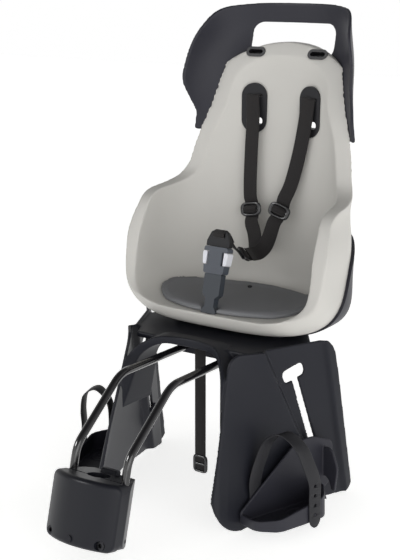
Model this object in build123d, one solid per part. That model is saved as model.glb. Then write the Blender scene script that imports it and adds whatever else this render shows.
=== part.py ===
from build123d import *
import os
from math import cos, hypot, pi, radians, sin

# Child bike seat that hangs on two rods from a block on the bike's seat tube.
# Millimetres, +Z up, the rider faces -Y, so +X is the rider's left.
# The origin is on the seat tube's axis, halfway up the mounting block.

# Fits
seat_gap = 0.3              # between pieces that seat on each other
slide_gap = 0.6             # round a piece that slides

# Mounting block on the seat tube
tube_lean = 15.0            # degrees that the seat tube leans back
tube_diameter = 34.0
block_width = 122.0
block_height = 96.0
block_front = 47.0          # depth in front of the tube's axis, in the middle
block_edge = 25.0           # depth in front of the tube's axis, at the sides
block_rear = 36.0
block_split = 10.0          # distance of the joint face in front of the tube's axis
block_split_gap = 3.0
block_round = 6.0
block_rear_half = 38.0
block_bolt_x = 45.0
block_bolt_z = 38.0
block_bolt_diameter = 8.0
block_bolt_head = 13.0
block_bolt_in = 30.0        # the upper bolts stand further in, clear of the rods
block_bolt_seat = 27.0
block_bolt_length = 47.0
block_cover_round = 7.0
block_corner = 12.0
block_step = 4.0            # how far the clamp's sides stand in from the cover's
block_boss = 10.0           # round boss low on the cover
block_boss_rise = 2.0
button_width = 30.0
button_depth = 12.0
button_rise = 7.0
button_travel = 4.0
button_y = 26.0             # behind the tube's axis
button_deep = 14.0

# Carrier rods
rod_diameter = 12.0
rod_fit = 0.2               # round a rod in its socket
rod_spacing = 94.0
rod_insert = 56.0           # length of rod inside the block
rod_low_bend = 81.0         # from the origin up the tube to the lower bend
rod_up_y = 122.0
rod_z = 158.0               # height of the level run under the seat
rod_end_y = 392.0
rod_low_radius = 42.0
rod_up_radius = 48.0
rod_end_radius = 36.0
rod_end_run = 60.0          # length of the rear bend's sides
saddle_half = 68.0
saddle_front = 292.0
saddle_back = 352.0
clamp_bolt_x = 26.0
clamp_bolt_diameter = 6.0
clamp_bolt_bite = 8.0

# Seat shell, plan sections: height, half width, back, front, reach from the widest place to the back
shell_sections = (
    (190.0, 100.0, 440.0, 312.0, 70.0),
    (196.0, 136.0, 456.0, 292.0, 90.0),
    (208.0, 165.0, 469.0, 280.0, 105.0),
    (228.0, 182.0, 477.0, 275.0, 125.0),
    (262.0, 188.0, 484.0, 275.0, 145.0),
    (296.0, 188.0, 488.0, 275.0, 150.0),
    (330.0, 187.0, 492.0, 275.0, 150.0),
    (400.0, 183.0, 499.0, 285.0, 150.0),
    (450.0, 179.0, 505.0, 297.0, 150.0),
    (491.0, 172.0, 509.0, 310.0, 150.0),
    (528.0, 165.0, 511.0, 320.0, 150.0),
    (561.0, 162.0, 514.0, 330.0, 150.0),
    (600.0, 156.0, 524.0, 340.0, 150.0),
    (640.0, 143.0, 537.0, 350.0, 150.0),
    (700.0, 114.0, 552.0, 360.0, 150.0),
)
shell_power = 2.6           # roundness of a section's back: 2 is an ellipse, more is squarer
front_power = 3.2           # the same for its front
shell_side_wall = 26.0
shell_back_wall = 13.0
pan_height = 221.0
pan_sections = (            # rise over the pan, share of the width, distance off the back
    (0.0, 0.60, 42.0),
    (3.0, 0.72, 26.0),
    (11.0, 0.86, 13.0),
    (27.0, 0.97, 4.0),
    (50.0, 1.0, 0.0),
)
cavity_front = 120.0        # well in front of the bucket, so that its room is open there
section_step = 15.0         # least height between the room's own sections and the bucket's
dish_top = 606.0
dish_sections = (           # drop below the dish's top, share of the width, distance off the back
    (44.0, 1.05, 0.0),
    (16.0, 0.98, 6.0),
    (0.0, 0.80, 14.0),
)
rim_line = (                # the rim from the side, as Y and Z
    (240.0, 222.0),
    (292.0, 234.0),
    (312.0, 290.0),
    (331.0, 350.0),
    (352.0, 379.0),
    (395.0, 391.0),
    (440.0, 408.0),
    (457.0, 450.0),
    (472.0, 508.0),
    (490.0, 577.0),
    (515.0, 628.0),
)
crown_top = 623.0
crown_half = 165.0
crown_drop = 95.0

# Cradle under the shell
cradle_wall = 5.0
cradle_floor = 4.0
shell_screw_places = [(x, y) for x in (-62.0, 62.0) for y in (338.0, 394.0)]
shell_screw_diameter = 6.0
shell_screw_head = 11.0
shell_screw_seat = 4.0      # how deep the heads lie in the deck
shell_screw_bite = 14.0

# Head guard
guard_wall = 5.0
guard_tip_z = 476.0
guard_top_z = 684.0
window_half = 78.0
window_low = 598.0
window_high = 652.0
window_round = 18.0
guard_back_low = 570.0
guard_screw_x = (-86.0, -40.0, 40.0, 86.0)
guard_screw_z = 584.0
guard_screw_diameter = 5.0
guard_screw_depth = 9.0

# Leg guard: edges of its side panels, as X at Z 0, X per mm up, Y at Z 0, Y per mm up
panel_front = (108.6, -0.139, 137.1, 0.209)
panel_rear = (180.5, -0.04, 406.0, -0.19)
panel_wall = 5.0
panel_low = -84.0
panel_high = 190.0
panel_roll = 13.0           # how far the front edge rolls inwards
ridge_low = 246.0           # ridge, measured back from the front edge
ridge_high = 80.0
ridge_rise = 13.0
ridge_slope = 8.0           # width of the ridge's rear slope
recess_rise = 3.0
border_width = 17.0
border_rise = 9.0
border_slope = 7.0
slot_width = 10.0
slot_forward = 13.0         # in front of the recess's middle
slot_low_z = -16.0
slot_high_z = 140.0
key_width = 38.0
key_height = 20.0
tooth_pitch = 6.0
tooth_depth = 2.0
deck_low = 176.0
shell_low = shell_sections[0][0]
deck_high = shell_low - 2 * seat_gap - cradle_floor
arch_half = 80.0
arch_crown = 178.0
arch_wall = 12.0
arch_back = 236.0           # how far back the middle of the arch stands
arch_front = 166.0          # and its two ends
arch_end = 256.0            # the back of the arch
arch_leg = 138.0            # height where its legs start to thin out
arch_leg_low = 70.0
arch_inner_round = 40.0
arch_outer_round = 50.0
deck_inset = 54.0           # the deck's front corners, back from the panels' front edges
deck_rear_inset = 40.0
deck_lead = 10.0            # how far its front edge stands behind those corners
deck_back = 408.0
deck_back_half = 105.0

# Footrests, each in the frame of its slot: back, up, out
foot_toe = 172.0
foot_end = 34.0             # where the floor ends, in front of the slot
foot_heel = 9.0
foot_width = 64.0
foot_sole = -57.0
foot_wall = 4.0
foot_rim_toe = 15.0         # height of the outer wall at the toe
foot_rim_end = 38.0         # and at its back end
foot_stud_high = 12.0       # height of the strap's stud over the sole
foot_rivet_high = 8.0       # height of its rivet over the strap's end
foot_ring_radii = (18.0, 9.0)
foot_ring_at = (84.0, 33.0) # in front of the slot, out from the inner wall
foot_ring_wall = 2.0
foot_ring_rise = 1.5
foot_ridge_at = (150.0, 28.0)
foot_ridge_length = 32.0
foot_ridge_width = 5.0
foot_ridge_rise = 3.0
foot_back_high = 48.0       # top of the inner wall, at the back
neck_half = 13.0
slider_width = 22.0
slider_half = 20.0
slider_wall = 4.0
slider_round = 4.0
slider_boss = 5.0           # radius of its two bosses
slider_boss_at = 8.0
slider_boss_rise = 2.5
foot_strap_width = 22.0
foot_strap_wall = 2.2
foot_strap_at = 82.0        # outer end, in front of the slot
foot_strap_in = 140.0       # inner end, in front of the slot
foot_strap_foot = -44.0
foot_strap_bend = 4.0       # height where the straight ends meet the arch
foot_hole = 5.0
foot_strap_holes = 4
foot_strap_tail = 8.0       # how far its end hangs below the sole
leaf_reach = 36.0
leaf_at = 7.0               # in front of the slot
leaf_top = 30.0
leaf_tip = -50.0
strap_steps = 12
foot_hole_pitch = 15.0
foot_stand = 18.5           # inner wall's distance out from the slot
foot_tall = 62.0
slider_clear = 4.0
foot_strap_top = 78.0

# Harness
web_width = 25.0
web_wall = 1.6
guide_x = 53.0
guide_z = 515.0
guide_height = 82.0
guide_width = 44.0
guide_flange = 3.0
guide_turn = 13.0           # degrees that a guide faces inwards
guide_sink = 1.5
guide_slot_y = 21.0
guide_slot_width = 28.0
guide_slot_height = 12.0    # the lower slot, which is empty
guide_web_slot = 5.0        # the upper slot, which the strap fills
guide_lip = 4.0             # how far the flange stands over the hole in the bucket
guide_deep = 14.0
grommet_x = 58.0
grommet_length = 36.0
grommet_width = 17.0
grommet_drop = 18.0
grommet_depth = 12.0
grommet_sink = 1.5
grommet_lip = 2.0
grommet_wall = 4.6
grommet_rise = 2.4
pad_half = 140.0
pad_front = 282.0
pad_back = 452.0
pad_thick = 8.0
pad_notch_gap = 3.0         # room round the crotch strap's foot
buckle_lean = 14.0          # degrees
buckle_y = 288.0
sleeve_height = 60.0
sleeve_half = 15.5
sleeve_neck = 8.5           # half width of the narrow part
sleeve_neck_high = 22.0
sleeve_foot = 13.0          # half width of the flared foot
sleeve_foot_high = 3.0
sleeve_step = 6.0
sleeve_depth = 13.0
sleeve_round = 1.5
tenon_width = 14.0
tenon_depth = 6.0
tenon_length = 10.0
socket_width = 20.0         # the buckle's root in the sleeve
socket_wall = 3.4
socket_length = 18.0
buckle_low = 36.0           # width at the foot
buckle_top = 44.0
buckle_height = 42.0
buckle_depth = 16.0
buckle_round = 4.0
buckle_core = 24.0          # width of the plate between the release buttons
press_height = 20.0
press_low = 14.0            # height of the buttons over the buckle's foot
press_travel = 3.0
press_proud = 2.0
press_round = 2.5
press_stem = 4.0
press_reach = 1.0           # length of stem in the plate at rest
blade_width = 15.0
blade_wall = 4.4
tongue_width = 42.0
tongue_top = 28.0           # width at the top
tongue_height = 24.0
tongue_shoulder = 8.0
tongue_round = 5.0
tongue_insert = 20.0
tongue_wall = 9.0
tongue_slot = 6.0
tongue_bar = 4.0
tongue_web = 20.0           # width of the strap on the tongue
slide_width = 27.0          # slide on the tongue's strap
slide_length = 18.0
slide_wall = 6.0
adjuster_width = 36.0
adjuster_height = 20.0
adjuster_wall = 6.0
ladder_bar = 4.0
left_strap_route = (        # X, Z, distance in front of the bucket's back, lean of the width
    (53.0, 537.0, -9.0, 0.0),
    (53.0, 537.0, 5.0, 0.0),
    (52.0, 531.0, 7.5, -0.05),
    (49.0, 500.0, 8.5, -0.1),
    (42.0, 450.0, 10.0, -0.17),
    (33.0, 400.0, 14.0, -0.2),
    (20.0, 356.0, 25.0, -0.3),
    (15.0, 340.0, 28.0, -0.4),
    (9.0, 314.0, 32.0, -0.7),
    (4.0, 296.0, 38.0, -1.5),
    (-2.0, 288.0, 46.0, -3.0),
)
right_strap_route = (
    (-53.0, 537.0, -9.0, 0.0),
    (-53.0, 537.0, 5.0, 0.0),
    (-52.5, 531.0, 7.5, 0.02),
    (-50.0, 500.0, 8.5, 0.03),
    (-48.0, 450.0, 12.0, 0.04),
    (-45.0, 400.0, 14.0, 0.08),
    (-38.0, 352.0, 18.0, 0.2),
    (-34.0, 336.0, 20.0, 0.3),
    (-14.0, 297.0, 31.0, 0.45),
)
adjuster_station = 6        # where on its route a shoulder strap carries its adjuster
tongue_strap_route = (      # X, Y, Z, lean of the width
    (0.0, 340.0, 322.0, -0.2),
    (-1.0, 360.0, 307.4, -0.8),
    (-1.6, 375.0, 299.0, -1.4),
    (-2.4, 397.0, 291.0, -1.6),
    (-4.0, 411.0, 288.9, -2.6),
    (-4.7, 423.0, 288.3, -3.0),
)
slide_station = 2           # the slide sits between this place on the route and the next
safety_width = 20.0
safety_buckle_width = 26.0
safety_buckle_depth = 7.0
safety_buckle_height = 28.0
safety_slot = 7.0
safety_slot_at = 8.0
safety_low = -36.0
safety_y = 262.0

section_points = 28         # points on a plan curve of the bucket
low_align = (Align.CENTER, Align.CENTER, Align.MIN)
top_align = (Align.CENTER, Align.CENTER, Align.MAX)
side_align = (Align.MIN, Align.CENTER, Align.CENTER)


def plan_outline(height, half_width, back, front, reach, seam=pi / 2):
    """Closed plan curve of the bucket: a blunt oval, widest at the reach from its back."""
    middle = back - reach
    points = []
    for i in range(section_points):
        turn = seam + 2 * pi * i / section_points
        across, along = round(cos(turn), 9), round(sin(turn), 9)
        depth, power = (reach, shell_power) if along > 0 else (middle - front, front_power)
        x = half_width * abs(across) ** (2 / power) * (1 if across > 0 else -1)
        y = middle + depth * abs(along) ** (2 / power) * (1 if along > 0 else -1)
        points.append((x, y))
    return Pos(0, 0, height) * make_face(Spline(*points, periodic=True))


def shell_size(height, column):
    """A section's size at any height between the listed ones."""
    for low, high in zip(shell_sections, shell_sections[1:]):
        if low[0] <= height <= high[0]:
            part = (height - low[0]) / (high[0] - low[0])
            return low[column] + part * (high[column] - low[column])
    return shell_sections[-1][column]


def shell_back_y(x, height, grow):
    """Y of the bucket's back at a distance X from the middle, grown outwards or, if negative, inwards."""
    half_width = shell_size(height, 1) + grow * (1 if grow > 0 else shell_side_wall / shell_back_wall)
    reach = shell_size(height, 4) + grow
    middle = shell_size(height, 2) - shell_size(height, 4)
    return middle + reach * (1 - (abs(x) / half_width) ** shell_power) ** (1 / shell_power)


def shell_body(grow, seam=pi / 2):
    faces = []
    for height, half_width, back, front, reach in shell_sections:
        faces.append(plan_outline(height, half_width + grow, back + grow, front - grow, reach + grow, seam))
    return loft(faces)


def cavity_body():
    """The room inside the bucket: the pan at its foot, open towards the front."""
    def section(height, at, share, inset):
        return plan_outline(height, (shell_size(at, 1) - shell_side_wall) * share,
                            shell_size(at, 2) - shell_back_wall - inset, cavity_front,
                            shell_size(at, 4) - shell_back_wall - inset)

    pan_full = pan_height + pan_sections[-1][0]
    faces = [section(pan_height + rise, pan_full, share, inset) for rise, share, inset in pan_sections]
    for row in shell_sections:
        if pan_full + section_step < row[0] < dish_top - dish_sections[0][0] - section_step:
            faces.append(section(row[0], row[0], 1, 0))
    for drop, share, inset in dish_sections:
        faces.append(section(dish_top - drop, dish_top - drop, share, inset))
    return loft(faces)


def side_solid(outline):
    """A side view outline of Y and Z, pushed through the whole width."""
    return extrude(Plane.YZ * make_face(outline), 400, both=True)


def front_solid(outline):
    """A front view outline of X and Z, pushed through the whole depth."""
    return extrude(Plane.XZ * make_face(outline), 900, both=True)


def rim_cut():
    """Everything above and in front of the rim line."""
    line = Spline((100, rim_line[0][1]), *rim_line, (700, 800))
    return side_solid(line + Polyline(line @ 1, (700, 900), (100, 900), line @ 0))


def crown_cut():
    """Everything above the crowned top edge."""
    low = crown_top - crown_drop
    arc = ThreePointArc((-crown_half, low), (0, crown_top), (crown_half, low))
    return front_solid(arc + Polyline(arc @ 1, (300, low), (300, 900), (-300, 900), (-300, low), arc @ 0))


def both_sides(shape):
    return [shape, mirror(shape, Plane.YZ)]


def guide_plane():
    turn = radians(guide_turn)
    y = shell_back_y(guide_x, guide_z, -shell_back_wall) + guide_sink
    across, out = (cos(turn), -sin(turn), 0), (-sin(turn), -cos(turn), 0)
    return Plane(origin=(guide_x, y, guide_z), x_dir=across, z_dir=out)


def grommet_plane():
    (low_y, low_z), (high_y, high_z) = rim_line[-2:]
    rise, back = high_z - low_z, high_y - low_y
    slope = hypot(rise, back)
    z = crown_top - grommet_drop
    y = low_y + back * (z - low_z) / rise + grommet_sink
    return Plane(origin=(grommet_x, y, z), x_dir=(1, 0, 0), z_dir=(0, -rise / slope, back / slope))


def sleeve_plane():
    lean = radians(buckle_lean)
    return Plane(origin=(0, buckle_y, pan_height), x_dir=(1, 0, 0), z_dir=(0, sin(lean), cos(lean)))


def buckle_plate(half, radius, depth):
    """A plate in the buckle's front view, from one half's corners: across, and up along the lean."""
    lean = radians(buckle_lean)
    plane = Plane(origin=(0, buckle_y, pan_height), x_dir=(1, 0, 0), z_dir=(0, -cos(lean), sin(lean)))
    points = half + [(-x, y) for x, y in reversed(half)]
    outline = make_face(FilletPolyline(*points, close=True, radius=radius))
    return extrude(plane.location * outline, depth / 2, both=True)


def upright_slot(length, width):
    return Rot(0, 0, 90) * SlotOverall(length, width)


def bore(plane, sketch, low, high):
    """A prism on a plane, from one distance along its normal to another."""
    return extrude(plane.location * Pos(0, 0, low) * sketch, high - low)


def guard_screw_bore(x, radius, length):
    y = shell_back_y(x, guard_screw_z, 0) - guard_screw_depth
    return Pos(x, y, guard_screw_z) * Rot(-90, 0, 0) * Cylinder(radius, length, align=low_align)


def guard_head_y(x):
    return shell_back_y(x, guard_screw_z, seat_gap + guard_wall) - 2


def shell_screw_bore(radius, low, high):
    return [Pos(x, y, low) * Cylinder(radius, high - low, align=low_align) for x, y in shell_screw_places]


def seat_shell():
    shell = shell_body(0) - rim_cut() - crown_cut() - cavity_body()
    guide, lip = guide_plane(), 2 * guide_lip
    flange = upright_slot(guide_height + 2 * seat_gap, guide_width + 2 * seat_gap)
    cuts = both_sides(bore(guide, flange, 0, guide_deep))
    cuts += both_sides(bore(guide, upright_slot(guide_height - lip, guide_width - lip), -3 * guide_deep, 1))
    grommet, lip = grommet_plane(), 2 * grommet_lip
    hole = SlotOverall(grommet_length - lip, grommet_width - lip)
    seat = SlotOverall(grommet_length + 2 * seat_gap, grommet_width + 2 * seat_gap)
    cuts += both_sides(bore(grommet, hole, -grommet_depth, 2 * grommet_depth))
    cuts += both_sides(bore(grommet, seat, 0, 2 * grommet_depth))
    tenon = Rectangle(tenon_width + 2 * seat_gap, tenon_depth + 2 * seat_gap)
    cuts.append(bore(sleeve_plane(), tenon, -tenon_length - seat_gap, sleeve_height))
    cuts += shell_screw_bore(shell_screw_diameter / 2, shell_low - 1, shell_low + shell_screw_bite)
    cuts += [guard_screw_bore(x, guard_screw_diameter / 2, 40) for x in guard_screw_x]
    return shell - cuts


def cradle():
    height, half_width, back, front, reach = shell_sections[0]
    grow = seat_gap + cradle_wall
    ring = plan_outline(deck_high + seat_gap, half_width + grow, back + grow, front - grow, reach + grow)
    gap = seat_gap
    inside = plan_outline(height - gap, half_width + gap, back + gap, front - gap, reach + gap)
    floor = extrude(ring, cradle_floor + seat_gap) - extrude(inside, cradle_floor)
    body = shell_body(grow) - shell_body(seat_gap) + floor
    edge = FilletPolyline((300, 100), (334, 192), (404, 302), (452, 336), (620, 346), radius=[30, 60, 60])
    body -= side_solid(edge + Polyline(edge @ 1, (620, 900), (100, 900), (100, 100), edge @ 0))
    return body - shell_screw_bore(shell_screw_diameter / 2 + seat_gap, 0, 600)


def head_guard():
    tip, top, low = guard_tip_z, guard_top_z, guard_back_low
    points = [(474, tip), (461, tip), (462, tip + 30), (432, 560), (450, 636), (490, 676), (540, top)]
    points += [(700, top), (700, low), (506, low), (488, 510)]
    side = FilletPolyline(*points, close=True, radius=[4, 4, 20, 36, 70, 60, 90, 2, 2, 20, 60])
    window = RectangleRounded(2 * window_half, window_high - window_low, window_round)
    window = Pos(0, (window_low + window_high) / 2) * window
    behind = Plane(origin=(0, 620, 0), x_dir=(1, 0, 0), z_dir=(0, -1, 0))
    guard = (shell_body(seat_gap + guard_wall, -pi / 2) & side_solid(side)) - shell_body(seat_gap, -pi / 2)
    guard -= bore(behind, window, 0, 160)
    for x in guard_screw_x:
        guard -= guard_screw_bore(x, guard_screw_diameter / 2 + seat_gap, 40)
        guard -= Pos(x, guard_head_y(x), guard_screw_z) * Rot(-90, 0, 0) * Cylinder(
            guard_screw_diameter + seat_gap, 30, align=low_align)
    return guard


def guard_screws():
    screws = []
    for x in guard_screw_x:
        length = guard_head_y(x) - shell_back_y(x, guard_screw_z, 0) + guard_screw_depth
        screw = guard_screw_bore(x, guard_screw_diameter / 2 - 0.1, length + 1)
        head = Pos(x, guard_head_y(x), guard_screw_z) * Rot(-90, 0, 0) * Cylinder(
            guard_screw_diameter - 0.2, 3.4, align=low_align)
        screws.append(screw + head)
    return screws


def shell_screws():
    shanks = shell_screw_bore(shell_screw_diameter / 2 - 0.1, deck_low + 3, shell_low + shell_screw_bite - 1)
    heads = shell_screw_bore(shell_screw_head / 2, deck_low + seat_gap, deck_low + shell_screw_seat)
    return [shank + head for shank, head in zip(shanks, heads)]


def panel_point(line, z):
    return line[0] + line[1] * z, line[2] + line[3] * z


def panel_frame(z):
    """Front corner, direction back, direction out and length of a side panel at one height."""
    fx, fy = panel_point(panel_front, z)
    rx, ry = panel_point(panel_rear, z)
    length = hypot(rx - fx, ry - fy)
    along = ((rx - fx) / length, (ry - fy) / length)
    return (fx, fy), along, (along[1], -along[0]), length


def ridge_at(z):
    part = (z - panel_low) / (panel_high - panel_low)
    return ridge_low + part * (ridge_high - ridge_low)


def panel_place(z, back, out):
    (fx, fy), along, outward, length = panel_frame(z)
    return fx + along[0] * back + outward[0] * out, fy + along[1] * back + outward[1] * out


def recess_ends(z):
    return ridge_at(z) + ridge_slope, panel_frame(z)[3] - border_width - border_slope


def panel_section(z):
    length = panel_frame(z)[3]
    start, end = recess_ends(z)
    outer = [(0, -panel_roll), (5, -panel_roll * 0.45), (14, -panel_roll * 0.12), (30, 0)]
    outer += [(ridge_at(z), ridge_rise), (start, recess_rise), (end, recess_rise)]
    outer += [(end + border_slope, border_rise), (length, border_rise - 3)]
    inner = [(back + (3 if back < 10 else 0), out - panel_wall) for back, out in reversed(outer)]
    points = [panel_place(z, back, out) for back, out in outer + inner]
    return Pos(0, 0, z) * make_face(Polyline(*points, close=True))


def slot_centre(z):
    start, end = recess_ends(z)
    x, y = panel_place(z, (start + end) / 2 - slot_forward, recess_rise)
    return Vector(x, y, z)


def slot_plane(upright):
    """Frame on a side panel's slot at Z 0, facing outwards; upright keeps its first axis level."""
    rise = (slot_centre(slot_high_z) - slot_centre(0)).normalized()
    x, y = panel_frame(slot_high_z / 2)[2]
    out = Vector(x, y, 0)
    out = (out - rise * out.dot(rise)).normalized()
    level = Vector(0, 0, 1).cross(out).normalized()
    across = rise.cross(out)
    return Plane(origin=slot_centre(0), x_dir=level if upright else across, z_dir=out)


def slot_outline():
    """Keyhole slot in the frame of the slot: toothed towards the front, wide at its top."""
    rise = slot_centre(slot_high_z) - slot_centre(0)
    high = rise.length
    low = slot_low_z * high / slot_high_z
    slot = Pos(0, (low + high) / 2) * Rectangle(slot_width, high - low)
    for i in range(int((high - 20) / tooth_pitch)):
        slot += Pos(-slot_width / 2, low + 6 + i * tooth_pitch) * Rot(0, 0, 45) * Rectangle(tooth_depth * 1.4,
                                                                                           tooth_depth * 1.4)
    key = Pos(0, high + key_height / 2 - 4) * RectangleRounded(key_width, key_height, 7)
    return slot + key


def side_panel():
    body = loft([panel_section(panel_low), panel_section(panel_high)], ruled=True)
    middle = panel_frame(0)
    x, y = panel_place(0, middle[3] / 2, 0)
    plane = Plane(origin=(x, y, 0), x_dir=(*middle[1], 0), z_dir=(*middle[2], 0))
    half = middle[3] / 2
    points = [(-half + 60, panel_high), (-half - 14, panel_low + 6), (-half + 120, panel_low + 24),
              (half + 24, panel_low + 8), (half - 42, panel_high + 8)]
    outline = FilletPolyline(*points, close=True, radius=[30, 46, 90, 26, 44])
    body &= extrude(plane.location * make_face(outline), 90, both=True)
    body -= extrude(slot_plane(False).location * slot_outline(), 40, both=True)
    return body


def arch_outline(half, high, low, radius):
    line = FilletPolyline((half, low), (half, high), (-half, high), (-half, low), radius=radius)
    return Plane.XZ * make_face(line + Line(line @ 1, line @ 0))


def leg_guard():
    wide, over = arch_half + arch_wall, arch_wall / 2
    arch = extrude(arch_outline(wide, arch_crown + arch_wall, arch_leg_low, arch_outer_round), -arch_end)
    arch -= extrude(arch_outline(arch_half, arch_crown, 0, arch_inner_round), -2 * arch_end)
    low = arch_leg_low - 1
    fade = Polyline((arch_half - 1, low), (arch_half - 1, arch_leg), (wide + 1, low), close=True)
    arch -= both_sides(extrude(Plane.XZ * make_face(fade), -2 * arch_end))
    hollow = ThreePointArc((-wide - over, arch_front), (0, arch_back), (wide + over, arch_front))
    front = hollow + Polyline(hollow @ 1, (wide + over, -wide), (-wide - over, -wide), hollow @ 0)
    arch -= extrude(make_face(front), 2 * deck_high)
    fx, fy = panel_place(deck_high, deck_inset, -2)
    rx, ry = panel_place(deck_high, panel_frame(deck_high)[3] - deck_rear_inset, -2)
    fy += deck_lead
    half = Polyline((0, fy), (fx, fy), (rx, ry), (deck_back_half, deck_back), (0, deck_back), close=True)
    deck = extrude(Pos(0, 0, deck_low) * make_face(half), deck_high - deck_low)
    body = arch + both_sides(deck) + both_sides(side_panel())
    body -= shell_body(2 * seat_gap + cradle_wall)
    body -= shell_screw_bore(shell_screw_diameter / 2 + seat_gap, 0, 2 * deck_high)
    body -= shell_screw_bore(shell_screw_head / 2 + seat_gap, 0, deck_low + shell_screw_seat + seat_gap)
    body -= clamp_bolt_bore(clamp_bolt_diameter / 2, deck_low - 1, deck_low + clamp_bolt_bite)
    strap_way = Rectangle(safety_width + 2 * seat_gap, web_wall + 2 * seat_gap)
    return body - extrude(Pos(0, safety_y, 0) * strap_way, 2 * deck_high)


def rod_sweep(radius):
    rise = radians(tube_lean)
    low = block_height / 2 - rod_insert
    half, start = rod_spacing / 2, rod_end_y - rod_end_run
    up = [(length * sin(rise), length * cos(rise)) for length in (low, rod_low_bend)]
    side = FilletPolyline(*up, (rod_up_y, rod_z), (start, rod_z), radius=[rod_low_radius, rod_up_radius])
    path = Pos(half, 0, 0) * (Plane.YZ * side)
    leg = sweep(Plane(path @ 0, z_dir=path % 0) * Circle(radius), path=path)
    corners = [(half, start), (half, rod_end_y), (-half, rod_end_y), (-half, start)]
    end = FilletPolyline(*corners, radius=rod_end_radius)
    path = Pos(0, 0, rod_z) * end
    bend = sweep(Plane(path @ 0, z_dir=path % 0) * Circle(radius), path=path)
    return both_sides(leg) + [bend]


def carrier_rod():
    left, right, bend = rod_sweep(rod_diameter / 2)
    return left + right + bend


def clamp_bolt_bore(radius, low, high):
    return [Pos(x, y, low) * Cylinder(radius, high - low, align=low_align)
            for x in (-clamp_bolt_x, clamp_bolt_x) for y in (saddle_front + 16, saddle_back - 16)]


def saddle_box(low, high):
    outline = RectangleRounded(2 * saddle_half, saddle_back - saddle_front, 8)
    return extrude(Pos(0, (saddle_front + saddle_back) / 2, low) * outline, high - low)


def rod_saddle():
    body = saddle_box(rod_z + 0.5, deck_low - seat_gap) - rod_sweep(rod_diameter / 2 + 0.1)
    return body - clamp_bolt_bore(clamp_bolt_diameter / 2 + seat_gap, 0, 400)


def rod_clamp_plate():
    body = saddle_box(rod_z - rod_diameter / 2 - 6, rod_z - 0.5) - rod_sweep(rod_diameter / 2 + 0.1)
    return body - clamp_bolt_bore(clamp_bolt_diameter / 2 + seat_gap, 0, 400)


def clamp_bolts():
    head_top = rod_z - rod_diameter / 2 - 6 - 0.1
    shanks = clamp_bolt_bore(clamp_bolt_diameter / 2 - 0.1, head_top - 2, deck_low + clamp_bolt_bite - 1)
    heads = clamp_bolt_bore(clamp_bolt_diameter * 0.85, head_top - 4, head_top)
    return [shank + head for shank, head in zip(shanks, heads)]


def block_plane():
    lean = radians(tube_lean)
    return Plane(origin=(0, 0, 0), x_dir=(1, 0, 0), z_dir=(0, sin(lean), cos(lean)))


def block_bolt_planes():
    """Seats of the block's bolts: two low ones from the front, two high ones from behind."""
    planes = []
    for x in (-block_bolt_x, block_bolt_x):
        planes.append(Plane(origin=(x, -block_bolt_seat, -block_bolt_z), x_dir=(1, 0, 0), z_dir=(0, 1, 0)))
    for x in (-block_bolt_in, block_bolt_in):
        planes.append(Plane(origin=(x, block_bolt_seat, block_bolt_z), x_dir=(1, 0, 0), z_dir=(0, -1, 0)))
    return planes


def block_holes():
    holes = [Cylinder(tube_diameter / 2, 200)]
    for plane in block_bolt_planes():
        holes.append(bore(plane, Circle(block_bolt_diameter / 2 + 0.2), -1, block_bolt_length + 1))
        holes.append(bore(plane, Circle(block_bolt_head / 2 + seat_gap), -40, 0))
    return holes


def block_cover():
    half = block_width / 2
    joint = -block_split - block_split_gap / 2
    front = ThreePointArc((half, -block_edge), (0, -block_front), (-half, -block_edge))
    sides = Polyline((-half, -block_edge), (-half, joint), (half, joint), (half, -block_edge))
    outline = make_face(front + sides)
    body = extrude(Pos(0, 0, -block_height / 2) * outline, block_height)
    body = fillet(body.edges().filter_by(Axis.Y), block_corner)
    body = fillet(body.faces().sort_by(Axis.Y)[0].edges(), block_cover_round)
    body += Pos(0, -block_front - block_boss_rise, -block_bolt_z) * Rot(-90, 0, 0) * Cylinder(
        block_boss / 2, 12, align=low_align)
    return block_plane().location * (body - block_holes())


def block_clamp():
    joint = -block_split + block_split_gap / 2
    half, rod_x = block_width / 2 - block_step, rod_spacing / 2
    side = [(half, joint), (half, 2), (rod_x + 4, rod_diameter + 1), (block_rear_half, block_rear)]
    outline = Polyline(*side, *[(-x, y) for x, y in reversed(side)], close=True)
    body = extrude(Pos(0, 0, -block_height / 2) * make_face(outline), block_height)
    upright = body.edges().filter_by(Axis.Z).filter_by(lambda edge: edge.center().Y > 0)
    face = RectangleRounded(2 * half, block_height, block_corner)
    body = (fillet(upright, block_round) & extrude(Plane.XZ * face, block_width, both=True)) - block_holes()
    top = block_height / 2
    for x in (-rod_spacing / 2, rod_spacing / 2):
        hole = Cylinder(rod_diameter / 2 + rod_fit, rod_insert + 2, align=low_align)
        body -= Pos(x, 0, top - rod_insert - 1) * hole
    pocket = RectangleRounded(button_width + 2 * slide_gap, button_depth + 2 * slide_gap, 3)
    body -= extrude(Pos(0, button_y, top - button_deep - button_travel - 1) * pocket, 60)
    return block_plane().location * body


def block_bolts():
    bolts = []
    for plane in block_bolt_planes():
        bolt = bore(plane, Circle(block_bolt_diameter / 2), -1, block_bolt_length)
        bolt += bore(plane, Circle(block_bolt_head / 2), -block_bolt_head / 2 - 0.1, -0.1)
        bolt -= bore(plane, RegularPolygon(block_bolt_head * 0.27, 6), -20, -block_bolt_head / 4)
        bolts.append(block_plane().location * bolt)
    return bolts


def release_button():
    top = block_height / 2
    body = extrude(Pos(0, button_y, top - button_deep) * RectangleRounded(button_width, button_depth, 3),
                   button_deep + button_rise)
    return block_plane().location * chamfer(body.faces().sort_by(Axis.Z)[-1].edges(), 1.5)


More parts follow.
